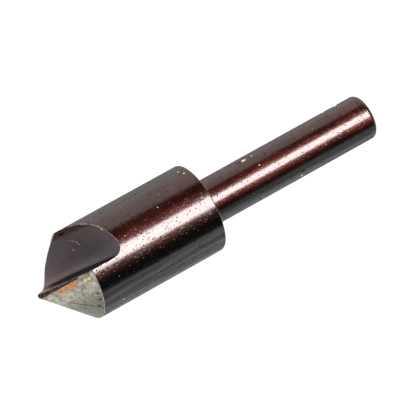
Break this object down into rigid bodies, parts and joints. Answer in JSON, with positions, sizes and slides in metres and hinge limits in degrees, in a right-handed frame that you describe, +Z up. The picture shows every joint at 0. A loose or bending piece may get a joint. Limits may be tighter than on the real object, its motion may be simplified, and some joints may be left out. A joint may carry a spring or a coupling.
{
  "type": "single-flute countersink",
  "caption": "Machinist's countersink: a conical cutting head with one open flute and a stepped-down straight round shank, in worn dark steel.",
  "frame": {"origin": "centre of the shank's free end face, on the tool axis", "axes": "+X along the tool axis from the cutting point towards the shank's free end; +Z up with the tool lying on a bench, so that the flute opens upwards between the rake face, which faces +Y and +Z, and the flute wall, which faces -X"},
  "size_m": [0.0498, 0.012, 0.012],
  "materials": {
    "cutter_head": "dark brown-black oxide with fine axial streaks, bare ground steel on the cone, light rust near the cutting edge",
    "shank": "dark brown-black oxide with fine scratches"
  },
  "bodies": {
    "root": {"cutter_head": "cutter_head", "shank": "shank"}
  },
  "joints": []
}
